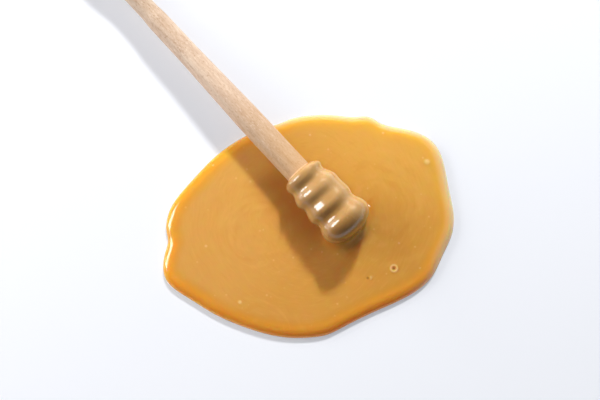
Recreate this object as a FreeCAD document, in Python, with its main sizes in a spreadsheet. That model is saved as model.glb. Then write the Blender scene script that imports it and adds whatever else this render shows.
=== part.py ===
import FreeCAD, Part
import math
import os
import Sketcher
from FreeCAD import Vector

# A turned wooden honey dipper lying with its grooved head in a pool of thick
# honey.  Frame: +Z up, the flat underside of the pool on Z = 0, origin at the
# middle of the pool, +X along the dipper from its knob towards its head.
# Millimetres throughout.

doc = FreeCAD.newDocument("honey_dipper")

# ---------------------------------------------------------------- dimensions
sheet = doc.addObject("Spreadsheet::Sheet", "Sizes")
SIZES = [
    # dipper: length stations run from the end of the knob (0) to the tip
    ("dipper_length", 152.0),
    ("knob_at", 5.5), ("knob_radius", 5.5),
    ("knob_back_at", 15.5), ("knob_back_radius", 4.73),
    ("knob_back_arc", 66.6), ("neck_flare_arc", 75.6),
    ("waist_from", 27.0), ("waist_to", 36.0), ("waist_radius", 3.85),
    ("grip_from", 40.0), ("grip_radius", 4.2),
    ("grip_to", 58.0), ("grip_end_radius", 4.25),
    ("shank_from", 92.0), ("shank_radius", 5.03), ("shank_to", 121.0),
    ("collar_edge_at", 122.0), ("collar_edge_radius", 6.3),
    ("collar_at", 123.8), ("collar_radius", 7.0), ("collar_arc", 2.66),
    ("last_ring_at", 146.9), ("last_ring_radius", 8.5),
    ("barrel_arc", 200.0),
    ("dome_edge_at", 150.83),
    ("dome_edge_arc", 4.2), ("dome_arc", 18.0),
    ("first_groove_at", 127.3), ("ring_pitch", 7.45),
    ("groove_mouth", 4.4), ("groove_floor", 2.6),
    ("groove_floor_radius", 5.6), ("groove_corner_radius", 6.1),
    ("groove_floor_arc", 1.95),
    # how the dipper lies
    ("tip_along", 13.9), ("axis_aside", 8.97), ("rise_angle", 1.76),
    # pool of honey
    ("pool_depth", 3.0), ("bead_width", 4.2), ("bead_steps", 7),
    ("pool_long", 59.39), ("pool_wide", 46.20), ("pool_turn", 29.2),
    # coat of honey on the head
    ("coat_aside", 0.55), ("coat_above", 0.2),
    ("coat_from", 120.7), ("coat_to", 152.7),
    ("coat_collar_radius", 8.15), ("coat_dip_a_radius", 7.45),
    ("coat_ring_a_radius", 9.25), ("coat_dip_b_radius", 8.3),
    ("coat_ring_b_radius", 9.65), ("coat_dip_c_radius", 8.7),
    ("coat_ring_c_radius", 10.1),
]
# The lobes of the pool's outline: where the honey ran further out or stayed
# back, as bearing from +X (degrees), rise (mm) and spread (degrees).
LOBES = [
    ("lobe_front", -1.3, -12.64, 27.4),
    ("lobe_back", -167.7, -12.63, 39.5),
    ("lobe_near_side", -104.2, 5.69, 16.3),
    ("lobe_near_tongue", -112.5, 5.46, 7.2),
    ("lobe_near_corner", -134.4, 5.18, 10.3),
    ("lobe_near_notch", -125.3, -0.90, 2.4),
    ("lobe_far_side", 81.9, 7.17, 10.8),
    ("lobe_far_step", 109.3, 1.95, 4.0),
    ("lobe_far_flat", 34.2, -2.06, 6.8),
    ("lobe_back_flat", 156.1, -0.75, 4.5),
    ("lobe_front_swell", -34.6, 0.64, 5.9),
]
row = 0
for name, value in SIZES:
    row += 1
    sheet.set("A%d" % row, name)
    sheet.set("B%d" % row, repr(value))
    sheet.setAlias("B%d" % row, name)
for name, bearing, rise, spread in LOBES:
    for suffix, value in (("_bearing", bearing), ("_rise", rise), ("_spread", spread)):
        row += 1
        sheet.set("A%d" % row, name + suffix)
        sheet.set("B%d" % row, repr(value))
        sheet.setAlias("B%d" % row, name + suffix)
doc.recompute()


def size(name):
    return float(sheet.get(name))


def plane_of(body, role):
    for item in body.Origin.OriginFeatures:
        if item.Role == role:
            return item
    raise RuntimeError("no plane " + role)


class Profile:
    """A sketch outline whose corners and arc radii are bound to the sheet."""

    def __init__(self, body, name, role):
        self.sketch = body.newObject("Sketcher::SketchObject", name)
        self.sketch.AttachmentSupport = [(plane_of(body, role), "")]
        self.sketch.MapMode = "FlatFace"
        doc.recompute()
        self.ends = []
        self.first = None

    def bind(self, constraint, label, expression):
        index = self.sketch.addConstraint(constraint)
        self.sketch.renameConstraint(index, label)
        self.sketch.setExpression("Constraints." + label, expression)

    def run(self, corners, arcs):
        """corners: (label, x, y, x expression, y expression), None for a
        corner on the axis and "free" for one that an arc settles;
        arcs: {segment number: (radius, expression, +1 bulging out, -1 in)};
        a way of 0 is a ball end, bulging out with its centre on the axis."""
        count = len(corners)
        ids = []
        starts = {}
        for i in range(count):
            a = Vector(corners[i][1], corners[i][2], 0)
            c = Vector(corners[(i + 1) % count][1], corners[(i + 1) % count][2], 0)
            if i in arcs:
                radius, _, way = arcs[i]
                way = way or 1
                mid = (a + c) * 0.5
                half = (c - a).Length / 2
                side = Vector(-(c - a).y, (c - a).x, 0).normalize()
                sag = radius - math.sqrt(max(radius * radius - half * half, 0))
                top = mid + side * sag * way
                arc = Part.ArcOfCircle(a, top, c)
                ids.append(self.sketch.addGeometry(arc, False))
                first = self.sketch.getPoint(ids[-1], 1)
                starts[i] = 1 if (first - a).Length < (first - c).Length else 2
            else:
                ids.append(self.sketch.addGeometry(Part.LineSegment(a, c), False))
                starts[i] = 1
        for i in range(count):
            j = (i + 1) % count
            self.sketch.addConstraint(Sketcher.Constraint(
                "Coincident", ids[i], 3 - starts[i], ids[j], starts[j]))
        for i, (label, x, y, ex, ey) in enumerate(corners):
            if ex is None:
                self.sketch.addConstraint(Sketcher.Constraint(
                    "PointOnObject", ids[i], starts[i], -2))
            elif ex != "free":
                self.bind(Sketcher.Constraint(
                    "DistanceX", -1, 1, ids[i], starts[i], x), label + "_x", ex)
            if ey is None:
                self.sketch.addConstraint(Sketcher.Constraint(
                    "PointOnObject", ids[i], starts[i], -1))
            elif ey != "free":
                self.bind(Sketcher.Constraint(
                    "DistanceY", -1, 1, ids[i], starts[i], y), label + "_y", ey)
        for i, (radius, expression, way) in arcs.items():
            if way == 0:
                self.sketch.addConstraint(Sketcher.Constraint(
                    "PointOnObject", ids[i], 3, -1))
            if expression:
                self.bind(Sketcher.Constraint("Radius", ids[i], radius),
                          "arc_%d" % i, expression)
        doc.recompute()
        return self.sketch


# -------------------------------------------------------------------- dipper
# One piece of turned beech: knob, waist, slowly swelling handle and a barrel
# head, which three grooves cut into four rings.
body = doc.addObject("PartDesign::Body", "dipper")
body.Label = "dipper"


def corner(label, x_name, r_name):
    return (label,
            size(x_name) if x_name else 0.0, size(r_name) if r_name else 0.0,
            "Sizes." + x_name if x_name else None,
            "Sizes." + r_name if r_name else None)


def arc(name, way=1):
    return (size(name), "Sizes." + name, way)


# the dome over the tip is part of a ball, so its edge's radius follows
dome_edge_radius = math.sqrt(size("dome_arc") ** 2 - (
    size("dome_edge_at") - size("dipper_length") + size("dome_arc")) ** 2)
blank = Profile(body, "blank_outline", "XZ_Plane").run(
    [
        corner("knob_end", None, None),
        corner("knob", "knob_at", "knob_radius"),
        corner("knob_back", "knob_back_at", "knob_back_radius"),
        corner("waist_a", "waist_from", "waist_radius"),
        corner("waist_b", "waist_to", "waist_radius"),
        corner("grip_a", "grip_from", "grip_radius"),
        corner("grip_b", "grip_to", "grip_end_radius"),
        corner("shank_a", "shank_from", "shank_radius"),
        corner("shank_b", "shank_to", "shank_radius"),
        corner("collar_edge", "collar_edge_at", "collar_edge_radius"),
        corner("collar", "collar_at", "collar_radius"),
        corner("last_ring", "last_ring_at", "last_ring_radius"),
        ("dome_edge", size("dome_edge_at"), dome_edge_radius,
         "Sizes.dome_edge_at", "free"),
        corner("tip", "dipper_length", None),
    ],
    {0: (size("knob_radius"), None, 0), 1: arc("knob_back_arc"),
     2: arc("neck_flare_arc", -1), 9: arc("collar_arc"), 10: arc("barrel_arc"),
     11: arc("dome_edge_arc"), 12: arc("dome_arc", 0)})
turned = body.newObject("PartDesign::Revolution", "turned_blank")
turned.Profile = blank
turned.ReferenceAxis = (blank, ["H_Axis"])
turned.Angle = 360
doc.recompute()
blank_volume = turned.Shape.Volume

mouth_at = "Sizes.first_groove_at"
g = size("first_groove_at")
cut = Profile(body, "groove_outline", "XZ_Plane").run(
    [
        ("mouth_a", g - size("groove_mouth") / 2, size("last_ring_radius") + 1,
         mouth_at + " - Sizes.groove_mouth / 2", "Sizes.last_ring_radius + 1"),
        ("mouth_b", g + size("groove_mouth") / 2, size("last_ring_radius") + 1,
         mouth_at + " + Sizes.groove_mouth / 2", "Sizes.last_ring_radius + 1"),
        ("floor_b", g + size("groove_floor") / 2, size("groove_corner_radius"),
         mouth_at + " + Sizes.groove_floor / 2", "Sizes.groove_corner_radius"),
        ("floor_a", g - size("groove_floor") / 2, size("groove_corner_radius"),
         mouth_at + " - Sizes.groove_floor / 2", "Sizes.groove_corner_radius"),
    ],
    {2: (size("groove_floor_arc"), "Sizes.groove_floor_arc", 1)})
groove = body.newObject("PartDesign::Groove", "groove")
groove.Profile = cut
groove.ReferenceAxis = (cut, ["H_Axis"])
groove.Angle = 360
doc.recompute()
groove_volume = groove.Shape.Volume
pattern = body.newObject("PartDesign::LinearPattern", "grooves")
pattern.Originals = [groove]
pattern.Direction = (cut, ["H_Axis"])
pattern.setExpression("Length", "2 * Sizes.ring_pitch")
pattern.Occurrences = 3
body.Tip = pattern
doc.recompute()
pattern_volume = pattern.Shape.Volume
print("blank %.1f  one groove %.1f  three grooves %.1f mm3"
      % (blank_volume, groove_volume, pattern_volume))
if not blank_volume > groove_volume > pattern_volume:
    raise RuntimeError("a groove cut nothing")

# It lies on its knob with its head raised a little; the knob touches Z = 0.
slope = math.radians(size("rise_angle"))
turn = FreeCAD.Rotation(Vector(0, 1, 0), -size("rise_angle"))
end_height = size("knob_radius") - size("knob_at") * math.sin(slope)
body.Placement = FreeCAD.Placement(
    Vector(size("tip_along") - size("dipper_length") * math.cos(slope),
           size("axis_aside"), end_height), turn)
doc.recompute()


# ---------------------------------------------------------------- honey pool
def lobe_list():
    found = []
    for name, _, _, _ in LOBES:
        found.append((math.radians(size(name + "_bearing")), size(name + "_rise"),
                      math.radians(size(name + "_spread"))))
    return found


def pool_radius(bearing, lobes):
    """Distance of the pool's foot from its middle: an oval and its lobes."""
    long, wide, lean = size("pool_long"), size("pool_wide"), math.radians(size("pool_turn"))
    c, s = math.cos(bearing - lean), math.sin(bearing - lean)
    radius = long * wide / math.sqrt((wide * c) ** 2 + (long * s) ** 2)
    for at, rise, spread in lobes:
        away = (bearing - at + math.pi) % (2 * math.pi) - math.pi
        radius += rise * math.exp(-0.5 * (away / spread) ** 2)
    return radius


def level_wire(inset, height, lobes, count=120):
    """The closed curve of the pool's side at one height, set in from the foot."""
    points = []
    step = 1e-4
    for i in range(count):
        bearing = 2 * math.pi * i / count
        radius = pool_radius(bearing, lobes)
        change = (pool_radius(bearing + step, lobes) - pool_radius(bearing - step, lobes)) / (2 * step)
        radius -= inset * math.sqrt(1 + (change / radius) ** 2)
        points.append(Vector(radius * math.cos(bearing), radius * math.sin(bearing), height))
    curve = Part.BSplineCurve()
    curve.interpolate(Points=points, PeriodicFlag=True)
    return Part.Wire([curve.toShape()])


lobes = lobe_list()
wires = []
steps = int(size("bead_steps"))
for k in range(steps + 1):
    bead = math.pi / 2 * k / steps
    wires.append(level_wire(size("bead_width") * (1 - math.cos(bead)),
                            size("pool_depth") * math.sin(bead), lobes))
pool_blank = doc.addObject("Part::Feature", "pool_blank")
pool_blank.Shape = Part.makeLoft(wires, True, False)
pool = doc.addObject("Part::Cut", "honey_pool")
pool.Label = "honey_pool"
pool.Base = pool_blank
pool.Tool = body
doc.recompute()


# ------------------------------------------------------------ coat of honey
# Honey clings to the head: it fills the grooves, rounds the rings over, hangs
# thicker on the far side and stands on the pool's top.
def coat_outline():
    pitch = size("ring_pitch")
    at = size("collar_at")
    dip = size("first_groove_at")
    return [
        (size("coat_from"), size("shank_radius") - 0.9),
        (size("coat_from") + 0.35, size("shank_radius") + 0.75),
        (at - 2.0, size("coat_collar_radius") - 0.75),
        (at, size("coat_collar_radius")),
        (dip, size("coat_dip_a_radius")),
        (dip + 0.53 * pitch, size("coat_ring_a_radius")),
        (dip + pitch, size("coat_dip_b_radius")),
        (dip + 1.53 * pitch, size("coat_ring_b_radius")),
        (dip + 2 * pitch, size("coat_dip_c_radius")),
    ] + [
        # the rounded end, a quarter of an ellipse from the last ring to the tip
        (size("last_ring_at") + (size("coat_to") - size("last_ring_at")) * math.sin(k * math.pi / 16),
         size("coat_ring_c_radius") * math.cos(k * math.pi / 16))
        for k in range(8)
    ] + [(size("coat_to"), 0.0)]


outline = [Vector(x, 0, r) for x, r in coat_outline()]
edge = Part.BSplineCurve()
edge.interpolate(Points=outline, PeriodicFlag=False)
closing = [Part.LineSegment(outline[-1], Vector(outline[0].x, 0, 0)).toShape(),
           Part.LineSegment(Vector(outline[0].x, 0, 0), outline[0]).toShape()]
face = Part.Face(Part.Wire([edge.toShape()] + closing))
coat_blank = doc.addObject("Part::Feature", "coat_blank")
coat_solid = face.revolve(Vector(0, 0, 0), Vector(1, 0, 0), 360)
if coat_solid.Volume < 0:
    coat_solid.reverse()
coat_blank.Shape = coat_solid
coat_blank.Placement = FreeCAD.Placement(
    body.Placement.Base + Vector(0, size("coat_aside"), size("coat_above")), turn)

# the pool's honey takes over below its own level
below = doc.addObject("Part::Box", "below_pool_level")
below.Length = 60
below.Width = 60
below.setExpression("Height", "Sizes.pool_depth + 10")
below.Placement = FreeCAD.Placement(
    Vector(size("tip_along") - 45, size("axis_aside") - 30, -10), FreeCAD.Rotation())
coat_over = doc.addObject("Part::Cut", "coat_over_wood")
coat_over.Base = coat_blank
coat_over.Tool = body
coat = doc.addObject("Part::Cut", "honey_coat")
coat.Label = "honey_coat"
coat.Base = coat_over
coat.Tool = below
doc.recompute()

# -------------------------------------------------------------------- checks
for item in doc.Objects:
    state = [s for s in item.State if s in ("Invalid", "Error")]
    if state:
        raise RuntimeError("%s is %s" % (item.Name, state))
parts = [body, pool, coat]
for item in parts:
    shape = item.Shape
    if shape.isNull() or not shape.isValid():
        raise RuntimeError(item.Label + " has no valid shape")
    box = shape.optimalBoundingBox(True, False)
    print("%-11s solids %d  volume %.1f mm3  x %.2f..%.2f  y %.2f..%.2f  z %.3f..%.3f"
          % (item.Label, len(shape.Solids), shape.Volume, box.XMin, box.XMax,
             box.YMin, box.YMax, box.ZMin, box.ZMax))
    if len(shape.Solids) != 1:
        raise RuntimeError(item.Label + " is not one solid")
for i in range(len(parts)):
    for j in range(i + 1, len(parts)):
        common = parts[i].Shape.common(parts[j].Shape).Volume
        print("overlap of %s and %s: %.4f mm3" % (parts[i].Label, parts[j].Label, common))

os.makedirs("parts", exist_ok=True)
for item in parts:
    item.Shape.exportStep(os.path.join("parts", item.Label + ".step"))
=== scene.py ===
import bpy
import math
import numpy as np
from mathutils import Matrix, Vector


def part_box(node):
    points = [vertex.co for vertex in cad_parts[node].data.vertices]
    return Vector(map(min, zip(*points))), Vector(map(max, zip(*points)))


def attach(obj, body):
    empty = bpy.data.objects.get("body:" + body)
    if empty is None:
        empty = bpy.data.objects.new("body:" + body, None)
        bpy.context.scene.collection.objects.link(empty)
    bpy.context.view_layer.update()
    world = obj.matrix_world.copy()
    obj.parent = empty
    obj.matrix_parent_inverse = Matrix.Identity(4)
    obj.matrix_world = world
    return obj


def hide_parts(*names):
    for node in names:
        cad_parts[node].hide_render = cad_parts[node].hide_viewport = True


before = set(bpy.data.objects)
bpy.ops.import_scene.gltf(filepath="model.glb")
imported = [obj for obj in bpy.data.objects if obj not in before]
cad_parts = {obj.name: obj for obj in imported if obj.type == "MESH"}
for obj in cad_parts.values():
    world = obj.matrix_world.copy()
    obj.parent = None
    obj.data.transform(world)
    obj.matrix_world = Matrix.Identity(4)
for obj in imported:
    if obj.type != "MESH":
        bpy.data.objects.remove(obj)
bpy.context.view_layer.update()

# A turned wooden honey dipper lying with its head in a pool of thick honey.
# The shapes below are worked out in millimetres in the row frame (+X along the
# dipper towards its head, +Z up, Z = 0 under the pool) and scaled to metres.

MM = 0.001
scene = bpy.context.scene
pool_lo, pool_hi = [np.array(c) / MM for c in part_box("honey_pool")]
coat_lo, coat_hi = [np.array(c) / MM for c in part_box("honey_coat")]
wood_lo, wood_hi = [np.array(c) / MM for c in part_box("dipper")]

# ------------------------------------------------------------------ camera
AZIMUTH, ELEVATION, DISTANCE = math.radians(47.6), math.radians(83.0), 384.6
LOOK_AT = np.array([-9.66, 3.04, 0.0])
right = np.array([math.cos(AZIMUTH), math.sin(AZIMUTH), 0.0])
away = np.array([-math.sin(AZIMUTH), math.cos(AZIMUTH), 0.0])
zup = np.array([0.0, 0.0, 1.0])
back = -math.cos(ELEVATION) * away + math.sin(ELEVATION) * zup
cam_up = math.sin(ELEVATION) * away + math.cos(ELEVATION) * zup


def basis(x, y, z, at):
    m = Matrix.Identity(4)
    for i, axis in enumerate((x, y, z)):
        for j in range(3):
            m[j][i] = float(axis[j])
    for j in range(3):
        m[j][3] = float(at[j])
    return m


cam_data = bpy.data.cameras.new("camera")
cam_data.lens = 60.0
cam_data.sensor_width = 36.0
cam_data.clip_start = 0.01
cam_data.clip_end = 20.0
cam = bpy.data.objects.new("camera", cam_data)
scene.collection.objects.link(cam)
cam.matrix_world = basis(right, cam_up, back, (LOOK_AT + DISTANCE * back) * MM)
scene.camera = cam
scene.view_settings.view_transform = "Standard"
scene.view_settings.look = "None"
scene.view_settings.exposure = 0.0
scene.view_settings.gamma = 1.0

# --------------------------------------------------------- the pool's outline
POOL_LONG, POOL_WIDE, POOL_TURN = 59.39, 46.20, math.radians(29.2)
BEAD_WIDTH = 4.2
DEPTH = float(pool_hi[2])
LOBES = [
    (-1.3, -12.64, 27.4), (-167.7, -12.63, 39.5), (-104.2, 5.69, 16.3),
    (-112.5, 5.46, 7.2), (-134.4, 5.18, 10.3), (-125.3, -0.90, 2.4),
    (81.9, 7.17, 10.8), (109.3, 1.95, 4.0), (34.2, -2.06, 6.8),
    (156.1, -0.75, 4.5), (-34.6, 0.64, 5.9),
]


def outline_radius(bearing):
    c, s = np.cos(bearing - POOL_TURN), np.sin(bearing - POOL_TURN)
    r = POOL_LONG * POOL_WIDE / np.sqrt((POOL_WIDE * c) ** 2 + (POOL_LONG * s) ** 2)
    for at, rise, spread in LOBES:
        gap = (bearing - math.radians(at) + np.pi) % (2 * np.pi) - np.pi
        r = r + rise * np.exp(-0.5 * (gap / math.radians(spread)) ** 2)
    return r


# the outline is looked up in a fine table of radius and slope
TABLE_N = 2880
table_b = np.linspace(-np.pi, np.pi, TABLE_N + 1)
table_r = outline_radius(table_b)
table_k = np.sqrt(1 + (np.gradient(table_r, table_b) / table_r) ** 2)


def inset(x, y):
    """How far in from the pool's foot a point lies (negative outside)."""
    b = np.arctan2(y, x)
    return (np.interp(b, table_b, table_r) - np.hypot(x, y)) / np.interp(b, table_b, table_k)


def smooth(a, b, x):
    s = np.clip((x - a) / (b - a), 0, 1)
    return s * s * (3 - 2 * s)


# ------------------------------------------------------- relief on the pool
# Slow swirls left by the dipper, a few bubbles just under the skin and one
# burst bubble's ring.
def to_ground(px, py):
    """Ground point (mm) under a place in the 600 x 400 frame."""
    ray = (px - 300.0) / 1000.0 * right - (py - 200.0) / 1000.0 * cam_up - back
    start = LOOK_AT + DISTANCE * back
    return (start + ray * (DEPTH - start[2]) / ray[2])[:2]


SWIRLS = [(to_ground(385, 195), 0.030, 5.2, 26.0), (to_ground(262, 230), 0.022, 4.3, 16.0),
          (to_ground(262, 300), 0.020, 5.0, 15.0)]
BUBBLES = []          # x, y, radius, height
for px, py, radius, height in (
        (370.5, 278.0, 0.75, 0.34), (427.0, 162.0, 1.25, 0.42), (383.0, 133.0, 0.55, 0.16),
        (399.0, 243.0, 0.45, 0.14), (213.0, 165.0, 0.5, 0.14), (310.0, 135.0, 0.5, 0.14),
        (240.0, 302.0, 0.8, 0.18), (206.0, 246.0, 0.6, 0.12), (420.0, 268.0, 0.45, 0.12)):
    gx, gy = to_ground(px, py)
    BUBBLES.append((gx, gy, radius, height))
rng = np.random.default_rng(7)
for _ in range(70):
    b = rng.uniform(-np.pi, np.pi)
    reach = np.interp(b, table_b, table_r)
    r = reach * math.sqrt(rng.uniform(0.02, 0.86))
    BUBBLES.append((r * math.cos(b), r * math.sin(b), rng.uniform(0.22, 0.42), rng.uniform(0.03, 0.09)))
RING_X, RING_Y = to_ground(394.0, 268.5)
DOT_X, DOT_Y = to_ground(368.0, 278.0)


def relief(x, y):
    h = np.zeros_like(x)
    for (cx, cy), rise, pitch, reach in SWIRLS:
        d = np.hypot(x - cx, y - cy)
        turn = np.arctan2(y - cy, x - cx)
        h += rise * np.sin(2 * np.pi * d / pitch + turn + 0.8 * np.sin(2 * turn)) * np.exp(-(d / reach) ** 2)
    h += 0.035 * np.sin(x / 9.0 + 0.7) * np.sin(y / 11.0 - 0.4)
    for bx, by, radius, rise in BUBBLES:
        d2 = ((x - bx) ** 2 + (y - by) ** 2) / radius ** 2
        h += rise * np.exp(-1.4 * d2)
    d = np.hypot(x - RING_X, y - RING_Y)
    h += 0.30 * np.exp(-((d - 1.15) / 0.42) ** 2) - 0.35 * np.exp(-(d / 0.75) ** 2)
    return h


def bubble_light_shade(x, y):
    """Painted light and shade on bubbles: pale where a bubble's skin is lit, partly a painted highlight (above 0.5);
    dark in the burst bubble's hollow and beside one bubble, painted shade (below).
    """
    v = np.full_like(x, 0.5)
    for bx, by, radius, _ in BUBBLES[:9]:
        v += 0.5 * np.exp(-1.2 * ((x - bx) ** 2 + (y - by) ** 2) / radius ** 2)
    d = np.hypot(x - RING_X, y - RING_Y)
    v += 0.5 * np.exp(-((d - 1.2) / 0.45) ** 2) - 0.5 * np.exp(-(d / 0.6) ** 2)
    d = np.hypot(x - DOT_X, y - DOT_Y)
    v -= 0.9 * np.exp(-(d / 0.5) ** 2)
    return np.clip(v, 0, 1)


# ------------------------------------------------------------- coated head
SLOPE = math.radians(1.76)
WOOD_TIP = np.array([wood_hi[0], (wood_lo[1] + wood_hi[1]) / 2, 0.0])
LENGTH = 152.0
END = np.array([WOOD_TIP[0] - LENGTH * math.cos(SLOPE), WOOD_TIP[1], 5.5 - 5.5 * math.sin(SLOPE)])
AXIS = np.array([math.cos(SLOPE), 0.0, math.sin(SLOPE)])

# stations along the head (mm from the knob's end) and the honey's radius there,
# on the near side (-Y) and the far side (+Y), and then on top, where the rings
# lean a little towards the tip
SIDES = np.array([
    (121.3, 6.0, 6.0), (121.9, 6.95, 7.1), (122.6, 7.55, 7.95), (123.5, 7.95, 8.7), (124.8, 7.75, 8.3),
    (126.1, 7.4, 7.85), (128.5, 8.4, 9.0), (130.5, 9.05, 9.75), (133.6, 8.05, 9.7),
    (135.7, 8.7, 9.85), (138.1, 9.35, 10.0), (141.4, 8.25, 9.3), (143.6, 9.0, 10.2),
    (145.1, 9.6, 10.8), (146.3, 9.75, 11.0)])
TOP = np.array([
    (121.3, 6.0), (121.9, 7.1), (122.5, 7.95), (123.6, 8.4), (125.1, 8.45), (126.4, 7.75), (127.5, 7.2),
    (128.6, 7.75), (129.9, 8.6), (131.8, 9.2), (135.0, 8.2), (136.8, 8.85), (138.7, 9.5), (142.8, 8.0),
    (144.6, 9.05), (145.5, 9.6), (146.3, 9.85)])
# painted shade: how dark the coat is painted on the steep side of each ring, which faces the tip away from the light,
# and on the dome
STEEP_SHADE = np.array([(120.0, 0.3), (124.5, 0.45), (127.0, 0.55), (129.0, 0.3), (131.6, 0.35), (133.6, 0.55),
                  (136.0, 0.5), (138.2, 0.5), (141.0, 1.0), (142.9, 0.85), (144.6, 0.4), (148.0, 1.0), (153.0, 1.0)])


def catmull(xs, ys, x):
    """Smooth curve through stations (monotone in x), with its own slopes."""
    slopes = np.gradient(ys, xs)
    i = np.clip(np.searchsorted(xs, x) - 1, 0, len(xs) - 2)
    w = xs[i + 1] - xs[i]
    s = np.clip((x - xs[i]) / w, 0, 1)
    h00 = (1 + 2 * s) * (1 - s) ** 2
    h10 = s * (1 - s) ** 2
    h01 = s * s * (3 - 2 * s)
    h11 = s * s * (s - 1)
    return h00 * ys[i] + h10 * w * slopes[i] + h01 * ys[i + 1] + h11 * w * slopes[i + 1]


LAST = 146.3
head_x = np.linspace(119.5, 153.5, 681)
head_r = []
for stations, col in ((SIDES, 1), (TOP, 1), (SIDES, 2)):
    r = catmull(stations[:, 0], stations[:, col], np.clip(head_x, 121.3, LAST))
    # the ridges are rounded over
    bell = np.exp(-0.5 * (np.arange(-36, 37) * 0.05 / 0.5) ** 2)
    r = np.convolve(np.pad(np.maximum(r, 0.0), 36, mode="edge"), bell / bell.sum(), mode="valid")
    head_r.append(r)


def head_field(x, y, z):
    """Roughly the distance (mm) to the honey round the head, minus inside."""
    px, py, pz = x - END[0], y - END[1], z - END[2]
    along = px * AXIS[0] + pz * AXIS[2]
    up = -px * AXIS[2] + pz * AXIS[0]
    rho = np.hypot(py, up) + 1e-9
    side = py / rho                       # -1 near side, +1 far side
    near, top, far = [np.interp(np.minimum(along, LAST), head_x, r) for r in head_r]
    radius = top + np.where(side > 0, (far - top) * smooth(0.0, 0.85, side), (near - top) * side * side)
    flank_d = (rho - radius) * 0.86
    # the rounded end, as a squashed ball past the last ring
    e = np.clip((along - LAST) / (152.75 - LAST), 0, None)
    k = np.sqrt(e ** 2.25 + (rho / radius) ** 2)
    end_d = (k - 1) * 6.6
    d = np.where(along > LAST, np.maximum(end_d, -40), flank_d)
    return np.maximum(d, (121.7 - along))


def head_coat_shade(x, y, z):
    """Painted shade on the coat: 0 on the far side, where the key light falls and the wood shows through as tan;
    towards 1 on top, on the near side and on the steep slopes, which are painted dark as shade."""
    px, py, pz = x - END[0], y - END[1], z - END[2]
    along = px * AXIS[0] + pz * AXIS[2]
    return np.interp(along, STEEP_SHADE[:, 0], STEEP_SHADE[:, 1]) * (1 - 0.85 * smooth(-0.5, 6.5, py))


def flank_rim_light(x, y, z):
    """Painted rim light: pale lines along both flanks of the coat where light comes through its clear edge: -1 near
    side, +1 far side.
    """
    px, py, pz = x - END[0], y - END[1], z - END[2]
    up = -px * AXIS[2] + pz * AXIS[0]
    side = py / (np.hypot(py, up) + 1e-9)
    return np.sign(side) * smooth(0.84, 0.97, np.abs(side)) * smooth(-3.5, -1.0, up)


def smooth_min(a, b, k):
    t = np.clip(0.5 + 0.5 * (b - a) / k, 0, 1)
    return b * (1 - t) + a * t - k * t * (1 - t)


# a tongue of honey that slid off the dome and has not settled
LIP = END + AXIS * 150.2


def field(x, y, z):
    d = inset(x, y)
    top = DEPTH + relief(x, y) * smooth(BEAD_WIDTH * 0.6, BEAD_WIDTH * 1.5, d)
    rim = np.clip(BEAD_WIDTH - d, 0, None) / BEAD_WIDTH
    pool = DEPTH * (np.sqrt(rim ** 2 + (z / top) ** 2) - 1)
    head = head_field(x, y, z)
    lip = (np.sqrt(((x - LIP[0]) / 5.2) ** 2 + ((y - LIP[1] - 0.6) / 7.6) ** 2 + ((z - 3.2) / 3.6) ** 2) - 1) * 3.6
    f = smooth_min(head, lip, 2.2)
    f = smooth_min(pool, f, 2.4)
    return np.maximum(f, -z)


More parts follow.
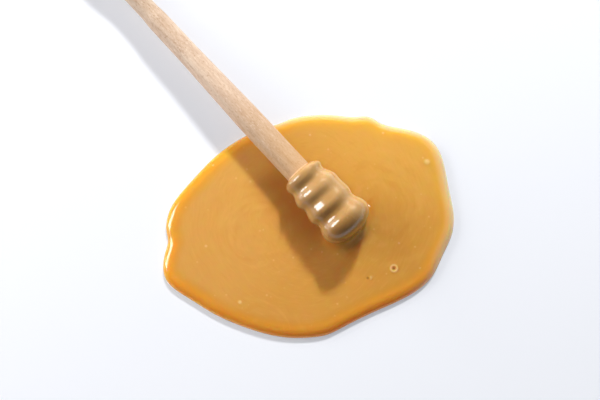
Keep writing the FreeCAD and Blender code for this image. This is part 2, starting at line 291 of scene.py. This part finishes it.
# --------------------------------------------------- surface from the field
def surface(fn, lo, hi, step):
    """Closed quad mesh of fn = 0 by surface nets, its points moved onto fn = 0."""
    axes = [np.arange(lo[i], hi[i] + step, step) for i in range(3)]
    f = np.empty([len(a) for a in axes], np.float32)
    gx, gy = np.meshgrid(axes[0], axes[1], indexing="ij")
    for k, zz in enumerate(axes[2]):
        f[:, :, k] = fn(gx, gy, np.full_like(gx, zz))
    inside = f < 0
    shape = [n - 1 for n in f.shape]
    total = np.zeros(shape + [3], np.float32)
    hits = np.zeros(shape, np.float32)
    for axis in range(3):
        others = [i for i in range(3) if i != axis]
        for a in (0, 1):
            for b in (0, 1):
                pick0 = [None] * 3
                pick1 = [None] * 3
                for i, off in zip(others, (a, b)):
                    pick0[i] = pick1[i] = slice(off, off + shape[i])
                pick0[axis] = slice(0, shape[axis])
                pick1[axis] = slice(1, 1 + shape[axis])
                f0, f1 = f[tuple(pick0)], f[tuple(pick1)]
                cross = (f0 < 0) != (f1 < 0)
                with np.errstate(divide="ignore", invalid="ignore"):
                    t = np.where(cross, f0 / (f0 - f1), 0)
                hits += cross
                total[..., axis] += np.where(cross, t, 0)
                total[..., others[0]] += np.where(cross, a, 0)
                total[..., others[1]] += np.where(cross, b, 0)
    live = hits > 0
    index = np.full(shape, -1, np.int64)
    index[live] = np.arange(int(live.sum()))
    cell = np.argwhere(live)
    pts = (cell + total[live] / hits[live][:, None]) * step + np.array(lo)
    quads = []
    for axis in range(3):
        i, j = [k for k in range(3) if k != axis]
        if axis == 1:
            i, j = j, i
        n = list(f.shape)
        lo_pick = [slice(1, n[k] - 1) for k in range(3)]
        hi_pick = list(lo_pick)
        lo_pick[axis] = slice(0, n[axis] - 1)
        hi_pick[axis] = slice(1, n[axis])
        a_in, b_in = inside[tuple(lo_pick)], inside[tuple(hi_pick)]
        for flip, mask in ((False, a_in & ~b_in), (True, ~a_in & b_in)):
            at = np.argwhere(mask)
            base = at.copy()
            for k in range(3):
                if k != axis:
                    base[:, k] += 1
            corner = []
            for di, dj in ((-1, -1), (0, -1), (0, 0), (-1, 0)):
                c = base.copy()
                c[:, i] += di
                c[:, j] += dj
                corner.append(index[c[:, 0], c[:, 1], c[:, 2]])
            q = np.stack(corner, 1)
            quads.append(q[:, ::-1] if flip else q)
    quads = np.concatenate(quads)
    assert (quads >= 0).all()
    e = 0.02
    for _ in range(4):
        x, y, z = pts.T
        v = fn(x, y, z)
        g = np.stack([fn(x + e, y, z) - fn(x - e, y, z), fn(x, y + e, z) - fn(x, y - e, z),
                      fn(x, y, z + e) - fn(x, y, z - e)], 1) / (2 * e)
        move = -(v / np.maximum((g * g).sum(1), 0.05))[:, None] * g
        size = np.linalg.norm(move, axis=1, keepdims=True)
        pts = pts + move * np.minimum(1, 0.5 * step / np.maximum(size, 1e-9))
    pts[:, 2] = np.maximum(pts[:, 2], 0.0)
    return pts, quads


def make_mesh(name, pts, faces):
    mesh = bpy.data.meshes.new(name)
    mesh.vertices.add(len(pts))
    mesh.vertices.foreach_set("co", (np.asarray(pts) * MM).astype(np.float32).ravel())
    count = sum(len(f) for f in faces)
    loops = np.concatenate([np.asarray(f, np.int32) for f in faces]) if not isinstance(faces, np.ndarray) \
        else faces.astype(np.int32).ravel()
    starts = np.concatenate([[0], np.cumsum([len(f) for f in faces])[:-1]]).astype(np.int32)
    mesh.loops.add(count)
    mesh.loops.foreach_set("vertex_index", loops)
    mesh.polygons.add(len(faces))
    mesh.polygons.foreach_set("loop_start", starts)
    mesh.polygons.foreach_set("use_smooth", np.ones(len(faces), bool))
    mesh.update(calc_edges=True)
    mesh.validate()
    return mesh


STEP = 0.42
lo = np.array([pool_lo[0] - 1.3, pool_lo[1] - 1.3, -0.63])
hi = np.array([pool_hi[0] + 1.3, pool_hi[1] + 1.3, 22.5])
pts, quads = surface(field, lo, hi, STEP)

# the flat underside is one face: its inner points go
low = pts[:, 2] < 1e-4
flat = low[quads].all(1)
side = quads[~flat]
edges = np.concatenate([quads[flat][:, [0, 1]], quads[flat][:, [1, 2]], quads[flat][:, [2, 3]], quads[flat][:, [3, 0]]])
have = set(map(tuple, edges.tolist()))
rim = [e for e in have if (e[1], e[0]) not in have]
after = dict(rim)
loop = [rim[0][0]]
while True:
    nxt = after[loop[-1]]
    if nxt == loop[0]:
        break
    loop.append(nxt)
used = np.unique(np.concatenate([side.ravel(), np.array(loop)]))
renumber = np.full(len(pts), -1, np.int64)
renumber[used] = np.arange(len(used))
pts = pts[used]
faces = [tuple(q) for q in renumber[side].tolist()] + [tuple(renumber[np.array(loop)].tolist())]
honey_mesh = make_mesh("honey", pts, faces)
honey_mesh.set_sharp_from_angle(angle=math.radians(50))
honey = bpy.data.objects.new("honey", honey_mesh)
scene.collection.objects.link(honey)
print("honey points", len(pts), "faces", len(faces), "rim", len(loop), "of", len(rim))

# masks the material reads: depth in from the foot, how much of the skin is the thin coat over wood, and where painted
# shade, painted highlights and painted rim light go
x, y, z = pts.T
skin = head_field(x, y, z)
for name, values in (
        ("inset_mm", np.clip(inset(x, y), 0, 60)),
        ("over_wood", smooth(0.9, -0.5, skin) * smooth(DEPTH - 0.2, DEPTH + 2.2, z)),
        # painted shade on the coat
        ("coat_shade", head_coat_shade(x, y, z)),
        # painted shade round the head and across its shadow on the near side
        ("head_shade", np.maximum(smooth(3.4, 0.2, skin) * (1 - 0.6 * smooth(4.0, 12.0, x)),
                              0.9 * smooth(14.0, 2.0, skin) * smooth(12.0, 1.0, y) * smooth(14.0, 2.0, x))
         * smooth(DEPTH + 3.0, DEPTH + 0.3, z) * smooth(4.0, 9.0, inset(x, y))),
        ("close", smooth(6.0, 0.5, skin)),
        ("tip_shade", smooth(5.0, 0.3, skin) * smooth(3.0, 11.0, x) * smooth(DEPTH + 3.0, DEPTH + 0.3, z)),
        ("bubble", bubble_light_shade(x, y)),
        ("flank_rim_light", flank_rim_light(x, y, z))):
    layer = honey_mesh.attributes.new(name, "FLOAT", "POINT")
    layer.data.foreach_set("value", np.asarray(values, np.float32))


# ---------------------------------------------------------------- materials
# honey: painted lighter and yellower on the side of the pool the key light falls on, darker on the far side: painted
# light and shade
HONEY_LIT_SIDE, HONEY_SHADED_SIDE = (0.760, 0.455, 0.082), (0.580, 0.300, 0.038)
LIGHT, DARK = (0.820, 0.490, 0.130), (0.560, 0.260, 0.032)
# rim colours: the lit side, the side away from the key light (painted shade) and the upper left where the handle's
# shadow crosses (painted shade)
EDGE, EDGE_SHADE_UPPER_LEFT, EDGE_SHADED_SIDE = (0.780, 0.455, 0.055), (0.740, 0.352, 0.024), (0.910, 0.405, 0.042)
MILKY, PALE_LIT_RIM = (0.700, 0.410, 0.108), (0.845, 0.635, 0.425)
HEAD_SHADE_COLOUR = (0.430, 0.088, 0.006)
RIM_LIGHT_FAR, RIM_LIGHT_NEAR = (0.900, 0.740, 0.500), (0.640, 0.400, 0.190)
TAN_DARK, TAN_LIGHT = (0.470, 0.285, 0.145), (0.580, 0.385, 0.220)
COAT_HALF_SHADE, COAT_FULL_SHADE = (0.345, 0.195, 0.095), (0.255, 0.108, 0.040)


class Nodes:
    """A few short calls for building a material's node tree."""

    def __init__(self, name):
        self.material = bpy.data.materials.new(name)
        self.material.use_nodes = True
        self.tree = self.material.node_tree
        self.tree.nodes.clear()
        self.out = self.tree.nodes.new("ShaderNodeOutputMaterial")
        self.shader = self.tree.nodes.new("ShaderNodeBsdfPrincipled")
        self.tree.links.new(self.shader.outputs[0], self.out.inputs["Surface"])

    def add(self, kind, **props):
        node = self.tree.nodes.new(kind)
        for key, value in props.items():
            setattr(node, key, value)
        return node

    def put(self, source, target):
        self.tree.links.new(source, target)

    def set_in(self, socket, value):
        if isinstance(value, bpy.types.NodeSocket):
            self.put(value, socket)
        else:
            socket.default_value = value

    def attribute(self, name):
        return self.add("ShaderNodeAttribute", attribute_name=name).outputs["Fac"]

    def position(self):
        return self.add("ShaderNodeTexCoord").outputs["Object"]

    def mapping(self, vector, scale=(1, 1, 1), rotation=(0, 0, 0), location=(0, 0, 0)):
        node = self.add("ShaderNodeMapping")
        self.put(vector, node.inputs["Vector"])
        node.inputs["Scale"].default_value = scale
        node.inputs["Rotation"].default_value = rotation
        node.inputs["Location"].default_value = location
        return node.outputs["Vector"]

    def noise(self, vector, scale, detail=3.0, rough=0.5, distort=0.0):
        node = self.add("ShaderNodeTexNoise")
        self.put(vector, node.inputs["Vector"])
        node.inputs["Scale"].default_value = scale
        node.inputs["Detail"].default_value = detail
        node.inputs["Roughness"].default_value = rough
        node.inputs["Distortion"].default_value = distort
        return node.outputs["Fac"]

    def math(self, op, a, b=0.0, c=None, clamp=False):
        node = self.add("ShaderNodeMath", operation=op, use_clamp=clamp)
        self.set_in(node.inputs[0], a)
        self.set_in(node.inputs[1], b)
        if c is not None:
            self.set_in(node.inputs[2], c)
        return node.outputs[0]

    def span(self, value, lo, hi, out_lo=0.0, out_hi=1.0, kind="SMOOTHSTEP"):
        node = self.add("ShaderNodeMapRange", interpolation_type=kind)
        self.set_in(node.inputs["Value"], value)
        node.inputs["From Min"].default_value = lo
        node.inputs["From Max"].default_value = hi
        node.inputs["To Min"].default_value = out_lo
        node.inputs["To Max"].default_value = out_hi
        return node.outputs["Result"]

    def mix(self, fac, a, b, blend="MIX"):
        node = self.add("ShaderNodeMix", data_type="RGBA", blend_type=blend)
        self.set_in(node.inputs["Factor"], fac)
        for socket, value in ((node.inputs["A"], a), (node.inputs["B"], b)):
            pass
        a_in = [s for s in node.inputs if s.name == "A" and s.type == "RGBA"][0]
        b_in = [s for s in node.inputs if s.name == "B" and s.type == "RGBA"][0]
        self.set_in(a_in, a if isinstance(a, bpy.types.NodeSocket) else tuple(a) + (1.0,))
        self.set_in(b_in, b if isinstance(b, bpy.types.NodeSocket) else tuple(b) + (1.0,))
        return [s for s in node.outputs if s.type == "RGBA"][0]

    def bump(self, height, distance, strength=1.0, normal=None):
        node = self.add("ShaderNodeBump")
        self.put(height, node.inputs["Height"])
        node.inputs["Distance"].default_value = distance
        node.inputs["Strength"].default_value = strength
        if normal is not None:
            self.put(normal, node.inputs["Normal"])
        return node.outputs["Normal"]


def swirl(n, at, pitch, turns, seed):
    """Broken, uneven streaks bent round a place on the pool, and the distance."""
    cx, cy = at
    flat = n.mapping(n.position(), location=(-cx * MM, -cy * MM, 0), scale=(1, 1, 0))
    drift = n.noise(n.mapping(n.position(), location=(seed, -seed, seed)), 45.0, 2.0)
    length = n.add("ShaderNodeVectorMath", operation="LENGTH")
    n.put(flat, length.inputs[0])
    unit = n.add("ShaderNodeVectorMath", operation="NORMALIZE")
    n.put(flat, unit.inputs[0])
    spread = n.add("ShaderNodeVectorMath", operation="SCALE")
    n.put(unit.outputs["Vector"], spread.inputs[0])
    spread.inputs["Scale"].default_value = turns
    d = n.math("MULTIPLY_ADD", drift, 9.0 * MM, length.outputs["Value"])
    lift = n.add("ShaderNodeCombineXYZ")
    n.put(n.math("MULTIPLY_ADD", d, 1.0 / (pitch * MM), seed), lift.inputs["Z"])
    both = n.add("ShaderNodeVectorMath", operation="ADD")
    n.put(spread.outputs["Vector"], both.inputs[0])
    n.put(lift.outputs["Vector"], both.inputs[1])
    return n.noise(both.outputs["Vector"], 1.0, 2.0, 0.45), length.outputs["Value"]


def honey_material():
    n = Nodes("honey_thick")
    pos = n.position()
    inset_mm = n.attribute("inset_mm")
    over = n.attribute("over_wood")
    coat = n.attribute("coat_shade")
    head_shade = n.attribute("head_shade")
    # painted light and shade: the honey is painted lighter and yellower towards the side the key light falls on, darker
    # away from it
    lie = n.mapping(pos, rotation=(0, 0, -AZIMUTH))
    split = n.add("ShaderNodeSeparateXYZ")
    n.put(lie, split.inputs[0])
    slow = n.noise(n.mapping(pos, scale=(1.0, 0.8, 0.4)), 22.0, 2.0, 0.45, 0.6)
    side = n.math("MULTIPLY_ADD", split.outputs["X"], 0.10, split.outputs["Y"])
    side = n.math("MULTIPLY_ADD", n.math("SUBTRACT", slow, 0.5), 0.03, side)
    colour = n.mix(n.span(side, -0.034, 0.042), HONEY_SHADED_SIDE, HONEY_LIT_SIDE)
    milky = n.math("MULTIPLY_ADD", n.math("SUBTRACT", slow, 0.5), 0.06, split.outputs["X"])
    inner = n.span(n.math("MULTIPLY_ADD", slow, 3.0, inset_mm), 4.5, 9.5)
    colour = n.mix(n.math("MULTIPLY", n.span(milky, 0.025, -0.035, 0.30, 0.80), inner), colour, MILKY)
    fine_streak, dist = swirl(n, (-4.0, 0.0), 0.8, 7.0, 3.3)
    colour = n.mix(n.math("MULTIPLY", n.span(fine_streak, 0.52, 0.70), n.math("MULTIPLY", inner, 0.13)), colour, LIGHT)
    colour = n.mix(n.math("MULTIPLY", n.span(fine_streak, 0.46, 0.30), n.math("MULTIPLY", inner, 0.10)), colour, DARK)
    for at, pitch, turns, reach, seed in (
            (to_ground(380, 205), 3.4, 1.6, 40.0, 1.7), (to_ground(258, 232), 2.8, 1.2, 24.0, 14.1),
            (to_ground(262, 340), 2.0, 0.8, 24.0, 8.3)):
        streak, dist = swirl(n, at, pitch, turns, seed)
        fade = n.math("MULTIPLY", n.span(dist, 4 * MM, reach * MM, 1.0, 0.0),
                      n.span(dist, 3 * MM, 13 * MM, 0.10, 1.0))
        amount = n.math("MULTIPLY", n.math("MULTIPLY", n.span(streak, 0.52, 0.66), fade), 0.30)
        colour = n.mix(amount, colour, LIGHT)
        amount = n.math("MULTIPLY", n.math("MULTIPLY", n.span(streak, 0.46, 0.34), fade), 0.22)
        colour = n.mix(amount, colour, DARK)
    # tiny pale specks of trapped air
    cells = n.add("ShaderNodeTexVoronoi")
    n.put(pos, cells.inputs["Vector"])
    cells.inputs["Scale"].default_value = 260.0
    speck = n.math("MULTIPLY", n.span(cells.outputs["Distance"], 0.05, 0.16, 1.0, 0.0),
                   n.span(n.noise(pos, 190.0, 1.0), 0.46, 0.56))
    colour = n.mix(n.math("MULTIPLY", speck, 0.35), colour, (0.93, 0.66, 0.26))
    # thin honey at the rim lets the white table through: golden, then pale. Painted shade: the rim is more orange on
    # the side away from the key light, and redder at the upper left where the handle's shadow crosses it.
    edge = n.mix(n.span(side, -0.03, 0.03), EDGE_SHADED_SIDE, EDGE)
    upper_left = n.math("MULTIPLY", n.span(split.outputs["X"], 0.0, -0.030), n.span(side, -0.020, 0.008))
    edge = n.mix(upper_left, edge, EDGE_SHADE_UPPER_LEFT)
    thin = n.span(n.math("MULTIPLY_ADD", slow, 3.0, inset_mm), 2.0, 8.5, 1.0, 0.0)
    colour = n.mix(n.math("MULTIPLY", thin, 0.85), colour, edge)
    # painted light: the pale very edge is painted only where the rim is lit
    lit = n.math("MULTIPLY", n.span(side, -0.030, 0.010), n.span(split.outputs["X"], -0.035, 0.0))
    lit = n.math("MAXIMUM", lit, n.math("MULTIPLY", n.span(split.outputs["X"], 0.030, 0.050),
                                        n.span(side, -0.050, -0.025)))
    pale = n.math("MULTIPLY", n.span(inset_mm, 0.3, 2.8, 1.0, 0.0), lit)
    colour = n.mix(n.math("MULTIPLY", pale, 0.75), colour, PALE_LIT_RIM)
    # painted light: the right rim is painted pale where the lamps barely reach it
    right_rim_light = n.math("MULTIPLY", n.span(split.outputs["X"], 0.040, 0.051), n.span(side, -0.032, -0.008))
    right_rim_light = n.math("MULTIPLY", n.span(inset_mm, 1.2, 5.0, 1.0, 0.0), right_rim_light)
    colour = n.mix(n.math("MULTIPLY", right_rim_light, 0.60), colour, (0.900, 0.690, 0.400))
    # painted highlight and shade on the bubbles: pale skins, partly a painted highlight, and dark hollows, painted
    # shade
    bubble_light_shade_mask = n.attribute("bubble")
    colour = n.mix(n.span(bubble_light_shade_mask, 0.56, 0.95, 0.0, 0.42), colour, (0.960, 0.760, 0.430))
    colour = n.mix(n.span(bubble_light_shade_mask, 0.44, 0.05, 0.0, 0.80), colour, (0.330, 0.150, 0.030))
    # painted shade: the honey is painted darker where the head stands in it and across the head's shadow on its near
    # side
    colour = n.mix(n.math("MULTIPLY", head_shade, 0.70), colour, HEAD_SHADE_COLOUR)
    # painted shade: the honey beside the dome's tip is painted red-brown
    colour = n.mix(n.math("MULTIPLY", n.attribute("tip_shade"), 0.60), colour, (0.660, 0.215, 0.018))
    # the coat on the head shows the wood under it; towards the near side and on the steep ring slopes it is painted
    # dark amber, which is painted shade
    wood = n.noise(n.mapping(pos, scale=(0.35, 1.0, 1.0)), 260.0, 3.0, 0.6)
    tan = n.mix(n.span(wood, 0.35, 0.7), TAN_DARK, TAN_LIGHT)
    tan = n.mix(n.span(coat, 0.0, 0.45, kind="LINEAR"), tan, COAT_HALF_SHADE)
    tan = n.mix(n.span(coat, 0.45, 1.0, kind="LINEAR"), tan, COAT_FULL_SHADE)
    # painted light: pale rim lines along the coat's flanks
    rim = n.attribute("flank_rim_light")
    tan = n.mix(n.span(rim, 0.0, 1.0, 0.0, 0.75, "LINEAR"), tan, RIM_LIGHT_FAR)
    tan = n.mix(n.span(rim, 0.0, -1.0, 0.0, 0.55, "LINEAR"), tan, RIM_LIGHT_NEAR)
    colour = n.mix(n.math("MULTIPLY", over, 0.95), colour, tan)
    n.put(colour, n.shader.inputs["Base Color"])
    s = n.shader
    n.put(n.span(over, 0.0, 1.0, 0.95, 0.15), s.inputs["Subsurface Weight"])
    s.inputs["Subsurface Radius"].default_value = (1.0, 0.34, 0.07)
    near = n.math("MAXIMUM", n.attribute("close"), head_shade)
    n.put(n.span(n.math("MAXIMUM", over, near), 0.0, 0.8, 0.0070, 0.0018), s.inputs["Subsurface Scale"])
    s.inputs["IOR"].default_value = 1.49
    rough = n.span(n.noise(pos, 90.0, 3.0), 0.3, 0.7, 0.07, 0.15)
    # over the wood a soft sheen lies under the clear gloss
    n.put(n.math("MULTIPLY_ADD", over, 0.20, rough), s.inputs["Roughness"])
    n.put(n.math("MULTIPLY", over, 0.75), s.inputs["Coat Weight"])
    s.inputs["Coat Roughness"].default_value = 0.05
    s.inputs["Coat IOR"].default_value = 1.49
    fine = n.noise(n.mapping(pos, scale=(1.0, 1.0, 0.5)), 210.0, 2.0, 0.4, 0.3)
    n.put(n.bump(fine, 0.00006, 0.5), s.inputs["Normal"])
    return n.material


def wood_material():
    n = Nodes("turned_beech")
    pos = n.position()
    # grain runs along the dipper (+X): everything is stretched that way
    grain = n.noise(n.mapping(pos, scale=(0.15, 1.0, 1.0)), 1300.0, 4.0, 0.65, 0.15)
    broad = n.noise(n.mapping(pos, scale=(0.12, 1.0, 1.0)), 260.0, 3.0, 0.5, 0.5)
    flecks = n.noise(n.mapping(pos, scale=(0.45, 1.0, 1.0)), 1900.0, 1.0, 0.5)
    patch = n.noise(pos, 40.0, 2.0)
    colour = n.mix(n.span(broad, 0.32, 0.68), (0.612, 0.448, 0.330), (0.745, 0.585, 0.452))
    colour = n.mix(n.math("MULTIPLY", n.span(grain, 0.50, 0.68), 0.55), colour, (0.480, 0.300, 0.195))
    colour = n.mix(n.math("MULTIPLY", n.span(grain, 0.46, 0.32), 0.60), colour, (0.820, 0.680, 0.560))
    colour = n.mix(n.math("MULTIPLY", n.span(flecks, 0.60, 0.70), 0.60), colour, (0.430, 0.250, 0.150))
    colour = n.mix(n.math("MULTIPLY", n.span(flecks, 0.38, 0.28), 0.50), colour, (0.860, 0.740, 0.640))
    colour = n.mix(n.math("MULTIPLY", n.span(patch, 0.4, 0.7), 0.30), colour, (0.640, 0.440, 0.310))
    # honey has soaked into the wood next to the head
    along = n.add("ShaderNodeSeparateXYZ")
    n.put(pos, along.inputs[0])
    # the wood is made darker towards the knob
    colour = n.mix(n.span(along.outputs["X"], -0.075, -0.125), colour, (0.745, 0.725, 0.690), "MULTIPLY")
    soak = n.math("MULTIPLY_ADD", patch, 0.02, along.outputs["X"])
    colour = n.mix(n.span(soak, -0.050, -0.008, 0.0, 0.64), colour, (0.580, 0.320, 0.115))
    n.put(colour, n.shader.inputs["Base Color"])
    rough = n.span(grain, 0.3, 0.7, 0.52, 0.70)
    n.put(rough, n.shader.inputs["Roughness"])
    n.shader.inputs["IOR"].default_value = 1.45
    bump = n.bump(grain, 0.00012, 0.55)
    n.put(bump, n.shader.inputs["Normal"])
    return n.material


honey.data.materials.append(honey_material())
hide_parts("honey_pool", "honey_coat")
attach(honey, "root")

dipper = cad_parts["dipper"]
wood = wood_material()
for item in dipper.material_slots:
    item.material = wood

# -------------------------------------------------------------------- stage
floor_mesh = bpy.data.meshes.new("floor")
S = 3.0
floor_mesh.from_pydata([(-S, -S, 0), (S, -S, 0), (S, S, 0), (-S, S, 0)], [], [(0, 1, 2, 3)])
floor = bpy.data.objects.new("floor", floor_mesh)
floor.location = (0, 0, -0.00002)
scene.collection.objects.link(floor)
n = Nodes("pale_table")
n.put(n.mix(n.noise(n.position(), 3.0), (0.575, 0.600, 0.645), (0.603, 0.628, 0.675)), n.shader.inputs["Base Color"])
n.shader.inputs["Roughness"].default_value = 0.45
n.shader.inputs["Specular IOR Level"].default_value = 0.25
n.shader.inputs["Emission Color"].default_value = (0.860, 0.890, 0.985, 1)
n.shader.inputs["Emission Strength"].default_value = 0.34
floor_mesh.materials.append(n.material)

# ------------------------------------------------------------------- lights
world = bpy.data.worlds.new("studio")
scene.world = world
world.use_nodes = True
bg = world.node_tree.nodes["Background"]
bg.inputs["Color"].default_value = (1.0, 0.965, 0.93, 1)
bg.inputs["Strength"].default_value = 0.17


def aim(obj, at, target):
    direction = Vector(target) - Vector(at)
    obj.location = at
    obj.rotation_euler = direction.to_track_quat("-Z", "Y").to_euler()


def lit_from(side_right, side_away, elevation, distance):
    e = math.radians(elevation)
    flat = side_right * right + side_away * away
    flat = flat / np.linalg.norm(flat)
    return tuple((flat * math.cos(e) + zup * math.sin(e)) * distance)


def lamp(name, size, power, colour, at, shows, roll=0.0):
    light = bpy.data.lights.new(name, "AREA")
    light.shape = "DISK" if name == "key" else "RECTANGLE"
    light.size, light.size_y = size
    light.energy = power
    light.color = colour
    obj = bpy.data.objects.new(name, light)
    scene.collection.objects.link(obj)
    aim(obj, at, (0, 0, 0))
    obj.rotation_euler = (obj.rotation_euler.to_matrix() @ Matrix.Rotation(math.radians(roll), 3, "Z")).to_euler()
    obj.visible_diffuse = shows == "shade"
    obj.visible_glossy = shows == "shine"
    return obj


lamp("key", (0.105, 0.105), 10.6, (1.0, 0.985, 0.96), lit_from(0.23, 0.97, 34.5, 1.0), "shade")
lamp("softbox", (0.95, 0.32), 6.6, (1.0, 0.955, 0.905), lit_from(-0.95, 0.30, 24.0, 0.8), "shade")
lamp("softbox_shine", (0.26, 0.52), 6.6, (0.84, 0.93, 1.0), lit_from(-0.98, 0.20, 25.0, 0.8), "shine", 45.0)
lamp("top_shine", (0.60, 0.22), 1.0, (1.0, 0.985, 0.96), lit_from(0.10, 0.97, 32.0, 0.9), "shine")
lamp("small_shine", (0.05, 0.05), 0.16, (1.0, 0.99, 0.97), lit_from(0.7, 0.7, 55.0, 0.8), "shine")

# --------------------------------------------------------------------- end
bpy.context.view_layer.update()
